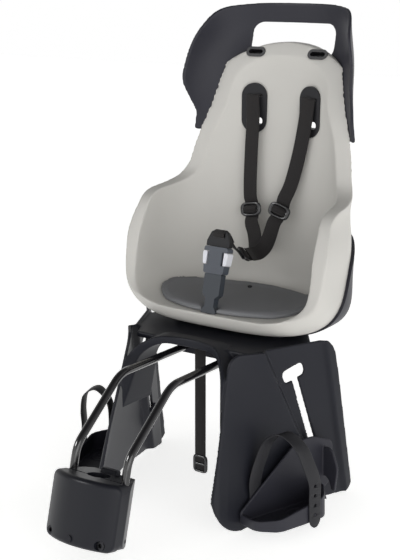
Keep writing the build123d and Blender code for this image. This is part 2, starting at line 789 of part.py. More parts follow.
def strap_guide():
    plane = guide_plane()
    inset = 2 * (guide_lip + seat_gap)
    body = bore(plane, upright_slot(guide_height, guide_width), seat_gap / 3, guide_flange)
    body += bore(plane, upright_slot(guide_height - inset, guide_width - inset), -guide_deep, 1)
    for y, height in ((guide_slot_y, guide_web_slot), (-guide_slot_y, guide_slot_height)):
        slot = RectangleRounded(guide_slot_width, height, height * 0.4)
        body -= bore(plane, Pos(0, y) * slot, -2 * guide_deep, guide_deep)
    return body


def rim_grommet():
    plane = grommet_plane()
    inset, hollow = 2 * (grommet_lip + seat_gap), 2 * grommet_wall
    body = bore(plane, SlotOverall(grommet_length, grommet_width), 0.2, grommet_rise)
    body += bore(plane, SlotOverall(grommet_length - inset, grommet_width - inset), 1 - grommet_depth, 1)
    well = SlotOverall(grommet_length - hollow, grommet_width - hollow)
    return body - bore(plane, well, grommet_rise - grommet_depth, grommet_depth)


def seat_pad():
    middle = (pad_front + pad_back) / 2
    oval = Pos(0, middle, shell_low) * Ellipse(pad_half, (pad_back - pad_front) / 2)
    column = extrude(oval, 2 * sleeve_height)
    body = column & (Pos(0, 0, seat_gap) * cavity_body())
    body -= Pos(0, 0, seat_gap + pad_thick) * cavity_body()
    notch = Rectangle(2 * sleeve_foot + pad_notch_gap, sleeve_depth + pad_notch_gap)
    return body - bore(sleeve_plane(), notch, -sleeve_height / 2, sleeve_height)


def crotch_sleeve():
    plane = sleeve_plane()
    half = [(sleeve_foot, -tenon_length), (sleeve_foot, sleeve_foot_high)]
    half += [(sleeve_neck, sleeve_foot_high + sleeve_step), (sleeve_neck, sleeve_neck_high)]
    half += [(sleeve_half, sleeve_neck_high + sleeve_step), (sleeve_half, sleeve_height)]
    body = buckle_plate(half, sleeve_round, sleeve_depth)
    under = Box(4 * sleeve_foot, 8 * sleeve_depth, sleeve_height, align=top_align)
    body -= Pos(0, buckle_y, pan_height + seat_gap) * under
    body += bore(plane, Rectangle(tenon_width, tenon_depth), -tenon_length, sleeve_neck_high)
    socket = Rectangle(socket_width + 2 * seat_gap, socket_wall + 2 * seat_gap)
    return body - bore(plane, socket, sleeve_height - socket_length - seat_gap, sleeve_height + 1)


def buckle_half(height):
    """Half width of the buckle at a height over its foot."""
    return (buckle_low + (buckle_top - buckle_low) * height / buckle_height) / 2


def press_pocket(diameter, low, high):
    """A round rod across the left release button's height, between two distances from the middle."""
    up = sleeve_height + seat_gap + press_low + press_height / 2
    rod = Cylinder(diameter / 2, high - low, align=low_align)
    return sleeve_plane().location * Pos(low, 0, up) * Rot(0, 90, 0) * rod


def buckle_body():
    plane = sleeve_plane()
    low = sleeve_height + seat_gap
    high = low + buckle_height
    body = buckle_plate([(buckle_low / 2, low), (buckle_top / 2, high)], buckle_round, buckle_depth)
    body += bore(plane, Rectangle(socket_width, socket_wall), low - socket_length, low + buckle_round)
    notch = Box(buckle_top, 2 * buckle_depth, press_height + 2 * slide_gap, align=side_align)
    middle = low + press_low + press_height / 2
    body -= both_sides(plane.location * Pos(buckle_core / 2, 0, middle) * notch)
    blade = Rectangle(blade_width + 2 * slide_gap, blade_wall + 2 * slide_gap)
    body -= bore(plane, blade, high - tongue_insert - slide_gap, high + 1)
    core = buckle_core / 2
    deep = press_reach + press_travel + slide_gap
    return body - both_sides(press_pocket(press_stem + 2 * slide_gap, core - deep, core + 1))


def buckle_button():
    low = sleeve_height + seat_gap
    foot, head = press_low, press_low + press_height
    inner = buckle_core / 2 + press_travel + slide_gap
    outline = FilletPolyline((inner, low + foot), (buckle_half(foot) + press_proud, low + foot),
                             (buckle_half(head) + press_proud, low + head), (inner, low + head), close=True,
                             radius=[0.4, press_round, press_round, 0.4])
    lean = radians(buckle_lean)
    plane = Plane(origin=(0, buckle_y, pan_height), x_dir=(1, 0, 0), z_dir=(0, -cos(lean), sin(lean)))
    cap = extrude(plane.location * make_face(outline), buckle_depth / 2 - seat_gap, both=True)
    return cap + press_pocket(press_stem, buckle_core / 2 - press_reach, inner + 1)


def tongue_slot_height():
    return sleeve_height + buckle_height + 2 * seat_gap + tongue_height - tongue_bar - tongue_slot / 2


def buckle_tongue():
    plane = sleeve_plane()
    high = sleeve_height + seat_gap + buckle_height
    foot = high + seat_gap
    half = [(tongue_width / 2, foot), (tongue_width / 2, foot + tongue_shoulder)]
    half.append((tongue_top / 2, foot + tongue_height))
    body = buckle_plate(half, [1.5, tongue_round, tongue_round, tongue_round, tongue_round, 1.5], tongue_wall)
    body += bore(plane, Rectangle(blade_width, blade_wall), high - tongue_insert, foot + 1)
    slot = Box(tongue_web + 2 * slide_gap, 4 * tongue_wall, tongue_slot)
    return body - plane.location * Pos(0, 0, tongue_slot_height()) * slot


def ribbon(stations, width, wall):
    """A strap through stations, each a point and the direction of the strap's width there."""
    faces = []
    count = len(stations)
    for i, (place, across) in enumerate(stations):
        before = Vector(*stations[max(i - 1, 0)][0])
        after = Vector(*stations[min(i + 1, count - 1)][0])
        plane = Plane(origin=place, x_dir=across, z_dir=(after - before))
        faces.append(plane.location * Rectangle(width, wall))
    return loft(faces, ruled=True)


def strap_station(x, z, off, lean):
    """A point in front of the bucket's back, with the strap's width turned as the strap leans."""
    return (x, shell_back_y(x, z, -shell_back_wall) - off, z), (1, 0, lean)


def shoulder_strap(route):
    stations = []
    for x, z, off, lean in route:
        stations.append(strap_station(x, z, off, lean))
    return ribbon(stations, web_width, web_wall)


def strap_adjuster(route):
    place, across = strap_station(*route[adjuster_station])
    upper = strap_station(*route[adjuster_station - 1])[0]
    lower = strap_station(*route[adjuster_station + 1])[0]
    plane = Plane(origin=place, x_dir=across, z_dir=Vector(*lower) - Vector(*upper))
    return ladder(plane, web_width, adjuster_width, adjuster_height, adjuster_wall)


def ladder(plane, web, width, length, wall):
    """A ladder slide on a strap: a frame with a bar across its middle, and a way through for the strap."""
    body = extrude(plane.location * RectangleRounded(width, wall, wall / 3), length / 2, both=True)
    way = Rectangle(web + 2 * slide_gap, web_wall + 2 * slide_gap)
    body -= extrude(plane.location * way, length, both=True)
    opening = length / 2 - ladder_bar * 1.5
    for side in (-1, 1):
        body -= plane.location * Pos(0, 0, side * (opening + ladder_bar) / 2) * Box(web, 4 * wall, opening)
    return body


def tongue_stations():
    """The tongue's strap, from inside the tongue's slot to where the shoulder straps meet."""
    lean = radians(buckle_lean)
    up = tongue_slot_height()
    y, z = buckle_y + up * sin(lean), pan_height + up * cos(lean)
    stations = [((0, y - tongue_wall / 3, z), (1, 0, 0)), ((0, y + tongue_wall, z), (1, 0, 0))]
    return stations + [((x, y, z), (1, 0, turn)) for x, y, z, turn in tongue_strap_route]


def tongue_strap():
    return ribbon(tongue_stations(), tongue_web, web_wall)


def tongue_slide():
    ends = tongue_strap_route[slide_station:slide_station + 2]
    before, after = [Vector(*end[:3]) for end in ends]
    lean = (ends[0][3] + ends[1][3]) / 2
    plane = Plane(origin=(before + after) / 2, x_dir=(1, 0, lean), z_dir=after - before)
    return ladder(plane, tongue_web, slide_width, slide_length, slide_wall)


def foot_plane():
    """Frame of the left footrest: back, in and up, from its slot."""
    frame = slot_plane(True)
    return Plane(origin=frame.origin, x_dir=frame.x_dir, z_dir=frame.y_dir)


def foot_outline(inset):
    side, toe, end, width = foot_stand, -foot_toe, -foot_end, foot_width
    points = [(toe, -side), (end, -side), (end, -side - width * 0.5), (end - 24, -side - width * 0.96),
              (end - 66, -side - width), (toe + 26, -side - width), (toe, -side - width * 0.6)]
    outline = make_face(FilletPolyline(*points, close=True, radius=[5, 5, 20, 24, 30, 24, 24]))
    return offset(outline, -inset) if inset else outline


def foot_wall_outline():
    """Inner wall from the side: a rounded shield that slopes down to the toe."""
    high, rim = foot_back_high, foot_sole + foot_rim_toe
    points = [(-foot_toe, foot_sole), (-foot_end, foot_sole), (foot_heel, foot_sole / 2)]
    points += [(foot_heel, high * 0.7), (-foot_tall / 2, high), (-foot_tall, high)]
    points.append((-foot_toe, rim + foot_wall))
    return make_face(FilletPolyline(*points, close=True, radius=[5, 5, 16, 14, 20, 60, 8]))


def leaf_outline():
    """Heel leaf from behind: it hangs off the inner wall and ends in a blunt point."""
    root, edge = -foot_stand, -foot_stand - leaf_reach
    points = [(root, leaf_tip * 0.4), (root, leaf_top - 4), (root - leaf_reach * 0.6, leaf_top), (edge, 0),
              (edge + leaf_reach * 0.25, leaf_tip), (root - leaf_reach * 0.4, leaf_tip * 0.4)]
    return make_face(FilletPolyline(*points, close=True, radius=[2, 2, 12, 24, 4, 12]))


def footrest():
    cup = extrude(Pos(0, 0, foot_sole) * foot_outline(0), foot_rim_end)
    cup -= extrude(Pos(0, 0, foot_sole + foot_wall) * foot_outline(foot_wall), foot_rim_end)
    slope = Polyline((-foot_toe - 1, foot_sole + foot_rim_toe), (-foot_end + 1, foot_sole + foot_rim_end),
                     (-foot_end + 1, foot_back_high), (-foot_toe - 1, foot_back_high), close=True)
    cup -= extrude(Plane.XZ * make_face(slope), 2 * foot_width, both=True)
    inner = Plane(origin=(0, -foot_stand, 0), x_dir=(1, 0, 0), z_dir=(0, -1, 0))
    cup += extrude(inner.location * foot_wall_outline(), foot_wall)
    behind = Plane(origin=(-leaf_at, 0, 0), x_dir=(0, 1, 0), z_dir=(1, 0, 0))
    cup += extrude(behind.location * leaf_outline(), -foot_wall)
    floor = foot_sole + foot_wall - 1
    for radius in foot_ring_radii:
        ring = Circle(radius) - Circle(radius - foot_ring_wall)
        cup += extrude(Pos(-foot_ring_at[0], -foot_stand - foot_ring_at[1], floor) * ring, foot_ring_rise + 1)
    ridge = SlotOverall(foot_ridge_length, foot_ridge_width, rotation=90)
    cup += extrude(Pos(-foot_ridge_at[0], -foot_stand - foot_ridge_at[1], floor) * ridge, foot_ridge_rise + 1)
    pin = Rot(90, 0, 0) * Cylinder(foot_hole / 2 - seat_gap, 3 * foot_strap_wall)
    cup += Pos(-foot_strap_at, -foot_stand - foot_width, foot_sole + foot_stud_high) * pin
    cup += Pos(-foot_strap_in, -foot_stand, foot_strap_foot + foot_rivet_high) * pin
    neck = Rectangle(slot_width - 2 * slide_gap, 2 * neck_half)
    neck = bore(slot_plane(False), neck, -panel_wall - slider_clear, foot_stand + 1)
    return foot_plane().location * cup + neck


def foot_strap():
    inside = foot_stand - seat_gap - foot_strap_wall / 2
    outside = foot_stand + foot_width + seat_gap + foot_strap_wall / 2
    top = (-(inside + outside) / 2, foot_strap_top)
    ends = (-inside, foot_strap_bend), (-outside, foot_strap_bend)
    arch = Spline(ends[0], top, ends[1], tangents=[(0, 1), (0, -1)])
    low_bend = foot_strap_bend - foot_strap_wall * 4
    stations = [((-foot_strap_in, -inside, z), (1, 0, 0)) for z in (foot_strap_foot, low_bend)]
    for i in range(strap_steps + 1):
        place = arch @ (i / strap_steps)
        back = foot_strap_in + i / strap_steps * (foot_strap_at - foot_strap_in)
        stations.append(((-back, place.X, place.Y), (1, 0, 0)))
    stations += [((-foot_strap_at, -outside, z), (1, 0, 0)) for z in (low_bend, foot_sole - foot_strap_tail)]
    band = ribbon(stations, foot_strap_width, foot_strap_wall)
    hole = Rot(90, 0, 0) * Cylinder(foot_hole / 2, 6 * foot_strap_wall)
    for i in range(foot_strap_holes):
        band -= Pos(-foot_strap_at, -outside, foot_sole + foot_stud_high + i * foot_hole_pitch) * hole
    band -= Pos(-foot_strap_in, -inside, foot_strap_foot + foot_rivet_high) * hole
    return foot_plane().location * band


def footrest_slider():
    plane = slot_plane(False)
    high = -panel_wall - slider_clear - 0.1
    low = high - slider_wall
    body = bore(plane, RectangleRounded(slider_width, 2 * slider_half, slider_round), low, high)
    for y in (-slider_boss_at, slider_boss_at):
        body += bore(plane, Pos(0, y) * Circle(slider_boss), low - slider_boss_rise, low + 1)
    return body


def safety_strap():
    high = deck_low + 6
    return Pos(0, safety_y, (safety_low + high) / 2) * Box(safety_width, web_wall, high - safety_low)


def safety_buckle():
    body = Box(safety_buckle_width, safety_buckle_depth, safety_buckle_height)
    body -= Box(safety_width + 2 * slide_gap, web_wall + 2 * slide_gap, 2 * safety_buckle_height)
    for z in (-safety_slot_at, safety_slot_at):
        body -= Pos(0, 0, z) * Box(safety_width, 2 * safety_buckle_depth, safety_slot)
    return Pos(0, safety_y, safety_low + safety_buckle_height / 2) * body


def pair(name, shape):
    """A piece on the rider's left and its mirror image on the right."""
    return {name + "_left": shape, name + "_right": mirror(shape, Plane.YZ)}


if __name__ == "__main__":
    os.makedirs("parts", exist_ok=True)
    pieces = {}
    single = [seat_shell, cradle, head_guard, guard_screws, shell_screws, leg_guard, seat_pad]
    single += [carrier_rod, rod_saddle, rod_clamp_plate, clamp_bolts]
    single += [block_cover, block_clamp, block_bolts, release_button]
    single += [crotch_sleeve, buckle_body, buckle_tongue, tongue_strap, tongue_slide]
    single += [safety_strap, safety_buckle]
    for make in single:
        pieces[make.__name__] = make()
    for make in (strap_guide, rim_grommet, buckle_button, footrest, footrest_slider, foot_strap):
        pieces.update(pair(make.__name__, make()))
    for side, route in (("left", left_strap_route), ("right", right_strap_route)):
        pieces["shoulder_strap_" + side] = shoulder_strap(route)
        pieces["strap_adjuster_" + side] = strap_adjuster(route)
    for name, shape in pieces.items():
        shape = Compound(shape) if isinstance(shape, list) else shape
        export_step(shape, "parts/" + name + ".step")
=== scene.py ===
import math

import bmesh
import bpy
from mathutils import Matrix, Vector


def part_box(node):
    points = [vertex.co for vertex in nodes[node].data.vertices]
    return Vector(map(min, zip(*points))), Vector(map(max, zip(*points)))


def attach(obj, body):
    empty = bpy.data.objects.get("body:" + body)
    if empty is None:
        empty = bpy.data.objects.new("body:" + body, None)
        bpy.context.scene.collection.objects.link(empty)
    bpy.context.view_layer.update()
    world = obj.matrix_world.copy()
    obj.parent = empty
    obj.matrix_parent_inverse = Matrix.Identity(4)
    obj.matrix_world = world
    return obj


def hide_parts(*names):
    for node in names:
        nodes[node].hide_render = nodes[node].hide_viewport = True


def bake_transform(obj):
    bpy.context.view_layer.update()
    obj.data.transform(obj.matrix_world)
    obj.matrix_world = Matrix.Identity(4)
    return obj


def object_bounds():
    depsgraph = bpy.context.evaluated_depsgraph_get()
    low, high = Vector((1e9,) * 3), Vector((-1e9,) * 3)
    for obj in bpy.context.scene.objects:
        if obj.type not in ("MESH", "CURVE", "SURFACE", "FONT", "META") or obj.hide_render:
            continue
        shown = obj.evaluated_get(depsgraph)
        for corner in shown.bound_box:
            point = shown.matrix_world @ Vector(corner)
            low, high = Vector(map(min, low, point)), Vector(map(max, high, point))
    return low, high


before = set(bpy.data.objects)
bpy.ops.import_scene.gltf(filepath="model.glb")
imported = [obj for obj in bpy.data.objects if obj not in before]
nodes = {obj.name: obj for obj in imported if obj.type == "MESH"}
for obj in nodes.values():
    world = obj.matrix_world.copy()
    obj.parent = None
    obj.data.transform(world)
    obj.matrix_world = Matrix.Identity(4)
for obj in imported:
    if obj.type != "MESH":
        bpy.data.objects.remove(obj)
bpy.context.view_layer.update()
scene = bpy.context.scene
print("frame loaded:", len(nodes), "nodes")


# Colour and materials

def linear(hexColour):
    parts = [int(hexColour[i:i + 2], 16) / 255 for i in (1, 3, 5)]
    return [c / 12.92 if c <= 0.04045 else ((c + 0.055) / 1.055) ** 2.4 for c in parts] + [1.0]


def addNode(tree, kind, settings=None, links=None):
    node = tree.nodes.new(kind)
    for key, value in (settings or {}).items():
        if key in node.inputs:
            node.inputs[key].default_value = value
        else:
            setattr(node, key, value)
    for socket, source in (links or {}).items():
        tree.links.new(source, node.inputs[socket])
    return node


def startMaterial(name):
    material = bpy.data.materials.new(name)
    material.use_nodes = True
    return material, material.node_tree, material.node_tree.nodes["Principled BSDF"]


# Injection-moulded plastic: a spark-eroded mould leaves a fine grain, which breaks up the highlights,
# and slow cooling leaves faint broad changes of gloss.
mouldSkin = {"cloudsPerMetre": 9.0, "glossier": 0.04, "duller": 0.06, "grainDeepMm": 0.2}


def mouldedPlastic(name, look):
    material, tree, shader = startMaterial(name)
    place = addNode(tree, "ShaderNodeTexCoord").outputs["Object"]
    grainSize = {"Scale": 1 / look["grainMm"] * 1000, "Detail": 3.0}
    grain = addNode(tree, "ShaderNodeTexNoise", grainSize, {"Vector": place})
    cloudSize = {"Scale": mouldSkin["cloudsPerMetre"], "Detail": 2.0}
    cloud = addNode(tree, "ShaderNodeTexNoise", cloudSize, {"Vector": place})
    span = {"To Min": look["rough"] - mouldSkin["glossier"], "To Max": look["rough"] + mouldSkin["duller"]}
    gloss = addNode(tree, "ShaderNodeMapRange", span, {"Value": cloud.outputs["Fac"]})
    relief = {"Strength": look["grain"], "Distance": mouldSkin["grainDeepMm"] / 1000}
    bump = addNode(tree, "ShaderNodeBump", relief, {"Height": grain.outputs["Fac"]})
    tint = addNode(tree, "ShaderNodeMix", {"data_type": "RGBA"}, {"Factor": cloud.outputs["Fac"]})
    tint.inputs["A"].default_value = linear(look["colour"])
    tint.inputs["B"].default_value = linear(look["far"])
    shader.inputs["Specular IOR Level"].default_value = look["shine"]
    tree.links.new(tint.outputs["Result"], shader.inputs["Base Color"])
    tree.links.new(gloss.outputs["Result"], shader.inputs["Roughness"])
    tree.links.new(bump.outputs["Normal"], shader.inputs["Normal"])
    return material


# Woven polyester webbing: yarns cross in a tight rib, so it is matt with a fine regular ribbing.
waveBand = 1 / 3.14      # about one band of the wave node, in its own units


def wovenWebbing(name, look):
    material, tree, shader = startMaterial(name)
    place = addNode(tree, "ShaderNodeTexCoord").outputs["UV"]
    ribs = addNode(tree, "ShaderNodeTexWave", {"Scale": 1.0, "bands_direction": "X", "Distortion": 0.0})
    rows = addNode(tree, "ShaderNodeTexWave", {"Scale": 1.0, "bands_direction": "Y", "Distortion": 0.0})
    for wave, pitch in ((ribs, look["ribMm"]), (rows, look["rowMm"])):
        scale = (1000 / pitch * waveBand,) * 3
        sized = addNode(tree, "ShaderNodeMapping", {"Scale": scale}, {"Vector": place})
        tree.links.new(sized.outputs["Vector"], wave.inputs["Vector"])
    crossing = {0: ribs.outputs["Fac"], 1: rows.outputs["Fac"]}
    weave = addNode(tree, "ShaderNodeMath", {"operation": "MULTIPLY"}, crossing)
    relief = {"Strength": look["relief"], "Distance": look["deepMm"] / 1000}
    bump = addNode(tree, "ShaderNodeBump", relief, {"Height": weave.outputs["Value"]})
    tint = addNode(tree, "ShaderNodeMix", {"data_type": "RGBA"}, {"Factor": weave.outputs["Value"]})
    tint.inputs["A"].default_value = linear(look["dark"])
    tint.inputs["B"].default_value = linear(look["light"])
    tree.links.new(tint.outputs["Result"], shader.inputs["Base Color"])
    tree.links.new(bump.outputs["Normal"], shader.inputs["Normal"])
    shader.inputs["Roughness"].default_value = look["rough"]
    shader.inputs["Sheen Weight"].default_value = look["sheen"]
    shader.inputs["Specular IOR Level"].default_value = look["shine"]
    return material


# Powder-coated steel rod: the melted powder flows out into a smooth, slightly wavy gloss skin.
def powderCoat(name, look):
    material, tree, shader = startMaterial(name)
    place = addNode(tree, "ShaderNodeTexCoord").outputs["Object"]
    peelSize = {"Scale": 1000 / look["peelMm"], "Detail": 1.0}
    peel = addNode(tree, "ShaderNodeTexNoise", peelSize, {"Vector": place})
    relief = {"Strength": look["relief"], "Distance": look["deepMm"] / 1000}
    bump = addNode(tree, "ShaderNodeBump", relief, {"Height": peel.outputs["Fac"]})
    shader.inputs["Base Color"].default_value = linear(look["colour"])
    shader.inputs["Roughness"].default_value = look["rough"]
    shader.inputs["Coat Weight"].default_value = look["coat"]
    shader.inputs["Coat Roughness"].default_value = look["coatRough"]
    tree.links.new(bump.outputs["Normal"], shader.inputs["Normal"])
    return material


# Plated steel: slightly dull metal, bright where it is zinc and dark where the zinc is blackened.
def platedSteel(name, look):
    material, tree, shader = startMaterial(name)
    shader.inputs["Base Color"].default_value = linear(look["colour"])
    shader.inputs["Metallic"].default_value = 1.0
    shader.inputs["Roughness"].default_value = look["rough"]
    return material


plasticFields = ("colour", "far", "rough", "shine", "grainMm", "grain")
plasticLooks = {       # in that order; far is the colour where the gloss is dullest
    "shellPlastic": ("#D1CFCA", "#CCCAC5", 0.5, 0.22, 0.9, 0.1),
    "darkPlastic": ("#2B2B33", "#2F2F37", 0.45, 0.28, 0.8, 0.2),
    "legPlastic": ("#202128", "#24252C", 0.42, 0.2, 0.8, 0.2),
    "blockPlastic": ("#191A21", "#1D1E25", 0.35, 0.25, 0.8, 0.15),
    "sleevePlastic": ("#383D44", "#3C4148", 0.45, 0.4, 0.6, 0.2),
    "bucklePlastic": ("#4A4F58", "#4E535C", 0.38, 0.45, 0.6, 0.12),
    "buttonPlastic": ("#E6E7EE", "#E1E2E9", 0.35, 0.5, 0.6, 0.05),
    "padFoam": ("#7A7B7E", "#7E7F82", 0.72, 0.25, 1.4, 0.45),
    "strapRubber": ("#212125", "#252529", 0.55, 0.35, 0.8, 0.2),
    "slidePlastic": ("#1F1F22", "#232326", 0.26, 0.7, 0.7, 0.06),
    "insertPlastic": ("#1D1D20", "#202024", 0.42, 0.28, 0.7, 0.12),
}
looks = {name: mouldedPlastic(name, dict(zip(plasticFields, row))) for name, row in plasticLooks.items()}
looks["webbing"] = wovenWebbing("webbing", {
    "dark": "#1A1818", "light": "#322E2F", "ribMm": 1.6, "rowMm": 1.1, "relief": 0.6, "deepMm": 0.3,
    "rough": 0.75, "sheen": 0.12, "shine": 0.25})
looks["rodSteel"] = powderCoat("rodSteel", {
    "colour": "#121114", "rough": 0.16, "coat": 0.8, "coatRough": 0.1, "peelMm": 6.0, "relief": 0.15,
    "deepMm": 0.3})
looks["fastenerSteel"] = platedSteel("fastenerSteel", {"colour": "#8E8F93", "rough": 0.35})
looks["blackBolt"] = platedSteel("blackBolt", {"colour": "#3A3A3D", "rough": 0.4})

nodeLooks = {       # a piece that stands for a node takes the node's look
    "seat_shell": "shellPlastic", "cradle": "darkPlastic", "head_guard": "darkPlastic",
    "guard_screws": "fastenerSteel", "shell_screws": "fastenerSteel", "leg_guard": "legPlastic",
    "carrier_rod": "rodSteel", "rod_saddle": "darkPlastic", "rod_clamp_plate": "darkPlastic",
    "clamp_bolts": "fastenerSteel", "block_cover": "blockPlastic", "block_clamp": "blockPlastic",
    "block_bolts": "blackBolt", "release_button": "blockPlastic", "seat_pad": "padFoam",
    "crotch_sleeve": "sleevePlastic", "buckle_body": "bucklePlastic", "buckle_tongue": "insertPlastic",
    "tongue_strap": "webbing", "tongue_slide": "slidePlastic", "safety_strap": "webbing",
    "safety_buckle": "slidePlastic",
}
for side in ("left", "right"):
    nodeLooks.update({
        "strap_guide_" + side: "insertPlastic", "rim_grommet_" + side: "insertPlastic",
        "buckle_button_" + side: "buttonPlastic", "footrest_" + side: "darkPlastic",
        "footrest_slider_" + side: "darkPlastic", "foot_strap_" + side: "strapRubber",
        "shoulder_strap_" + side: "webbing", "strap_adjuster_" + side: "slidePlastic"})


def dress(obj, look):
    obj.data.materials.clear()
    obj.data.materials.append(looks[look])


for name, look in nodeLooks.items():
    dress(nodes[name], look)
print("materials on", len(nodeLooks), "nodes")


# Rounded edges on the smaller pieces that show as they are

edgeRounds = {       # mm
    "rod_saddle": 1.5, "rod_clamp_plate": 1.5, "block_cover": 1.2, "block_clamp": 2.0, "release_button": 0.8,
    "crotch_sleeve": 1.2, "buckle_body": 1.6, "buckle_tongue": 1.4, "buckle_button": 1.2,
    "footrest_slider": 0.8, "strap_guide": 0.9, "rim_grommet": 0.6, "clamp_bolts": 0.4, "block_bolts": 0.6,
}
edgeSteps = 3
sharpFrom = 38      # degrees between two faces
for name, obj in nodes.items():
    plain = name.replace("_left", "").replace("_right", "")
    if plain not in edgeRounds:
        continue
    bevel = obj.modifiers.new("roundedEdges", "BEVEL")
    bevel.width = edgeRounds[plain] / 1000
    bevel.segments = edgeSteps
    bevel.limit_method = "ANGLE"
    bevel.angle_limit = math.radians(sharpFrom)
    bevel.use_clamp_overlap = True
    bevel.harden_normals = False
print("edges rounded on the smaller pieces")


# Copies that stand for a node

def copyNode(node, name):
    mesh = nodes[node].data.copy()
    obj = bpy.data.objects.new(name, mesh)
    scene.collection.objects.link(obj)
    return obj


def applyModifiers(obj):
    graph = bpy.context.evaluated_depsgraph_get()
    mesh = bpy.data.meshes.new_from_object(obj.evaluated_get(graph))
    obj.modifiers.clear()
    obj.data = mesh


def smoothShade(obj):
    for polygon in obj.data.polygons:
        polygon.use_smooth = True


def standFor(obj, body, node):
    dress(obj, nodeLooks[node])
    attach(obj, body)
    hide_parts(node)


# Large mouldings: their edges and ridges rounded over, as the plastic leaves the mould

weldGap = 0.02      # mm, closes the seams between faces
smoothShare = 0.5      # of the way to its neighbours, for each point in each round
# name, body, grid in mm, swelling that fills thin edges in mm, rounds of smoothing, share of the faces kept
mouldings = {
    "seat_shell": ("bucketShell", "seat", 2.4, 1.6, 9, 0.5),
    "leg_guard": ("legGuard", "seat", 1.5, 0.0, 12, 0.35),
    "head_guard": ("headGuard", "seat", 1.5, 0.0, 12, 0.35),
    "footrest_left": ("footCup_left", "foot_left", 1.0, 0.0, 12, 0.35),
    "footrest_right": ("footCup_right", "foot_right", 1.0, 0.0, 12, 0.35),
}
for node, (name, body, gridMm, swellMm, rounds, keep) in mouldings.items():
    moulding = copyNode(node, name)
    weld = moulding.modifiers.new("weld", "WELD")
    weld.merge_threshold = weldGap / 1000
    if swellMm:
        swell = moulding.modifiers.new("swell", "DISPLACE")
        swell.mid_level = 0
        swell.strength = swellMm / 1000
    grid = moulding.modifiers.new("grid", "REMESH")
    grid.mode = "VOXEL"
    grid.voxel_size = gridMm / 1000
    smooth = moulding.modifiers.new("round", "SMOOTH")
    smooth.factor = smoothShare
    smooth.iterations = rounds
    if swellMm:
        shrink = moulding.modifiers.new("shrink", "DISPLACE")
        shrink.mid_level = 0
        shrink.strength = -swellMm / 1000
    thin = moulding.modifiers.new("fewer", "DECIMATE")
    thin.ratio = keep
    applyModifiers(moulding)
    smoothShade(moulding)
    standFor(moulding, body, node)
    print(name, len(moulding.data.polygons), "faces")


# Webbing: flat ribbons along a smooth line, with the weave mapped in metres

def smoothLine(points, steps):
    line = []
    count = len(points)
    for i in range(count - 1):
        p0, p1 = points[max(i - 1, 0)], points[i]
        p2, p3 = points[i + 1], points[min(i + 2, count - 1)]
        for s in range(steps):
            t = s / steps
            line.append(0.5 * (2 * p1 + (p2 - p0) * t + (2 * p0 - 5 * p1 + 4 * p2 - p3) * t ** 2
                               + (3 * p1 - p0 - 3 * p2 + p3) * t ** 3))
    return line + [points[-1]]


def meshPiece(name, body):
    bmesh.ops.recalc_face_normals(body, faces=body.faces)
    mesh = bpy.data.meshes.new(name)
    body.to_mesh(mesh)
    body.free()
    obj = bpy.data.objects.new(name, mesh)
    scene.collection.objects.link(obj)
    return obj


webSteps = 6         # rings from one station to the next
tipLeast = 0.25      # share of the width left at the very end of a rounded tip
webSection = ((-1, -0.6), (-0.94, -1), (0.94, -1), (1, -0.6), (1, 0.6), (0.94, 1), (-0.94, 1), (-1, 0.6))
webUnrolled = (0, 0.0007, 1, 1.0007, 1.0013, 1.002, 2.002, 2.0027)      # widths round the section


def ribbon(name, route, width, wall, tip=0.0):      # tip is the length of a rounded end
    points = smoothLine([Vector(p) for p, across in route], webSteps)
    acrosses = smoothLine([Vector(across) for p, across in route], webSteps)
    body = bmesh.new()
    uvLayer = body.loops.layers.uv.new("UVMap")
    rings = []
    travelled = [0.0]
    for i in range(1, len(points)):
        travelled.append(travelled[-1] + (points[i] - points[i - 1]).length)
    for i, point in enumerate(points):
        left = travelled[-1] - travelled[i]
        half = width / 2
        if left < tip:
            half *= max(tipLeast, math.sqrt(1 - (1 - left / tip) ** 2))
        along = (points[min(i + 1, len(points) - 1)] - points[max(i - 1, 0)]).normalized()
        across = (acrosses[i] - along * acrosses[i].dot(along)).normalized()
        out = along.cross(across)
        ring = []
        for x, y in webSection:
            ring.append(body.verts.new(point + across * (x * half) + out * (y * wall / 2)))
        rings.append(ring)
    for i in range(len(rings) - 1):
        for j in range(len(webSection)):
            k = (j + 1) % len(webSection)
            face = body.faces.new((rings[i][j], rings[i][k], rings[i + 1][k], rings[i + 1][j]))
            face.smooth = True
            for loop in face.loops:
                ring = i if loop.vert in rings[i] else i + 1
                corner = rings[ring].index(loop.vert)
                loop[uvLayer].uv = (webUnrolled[corner] * width, travelled[ring])
    body.faces.new(list(reversed(rings[0])))
    body.faces.new(rings[-1])
    return meshPiece(name, body)


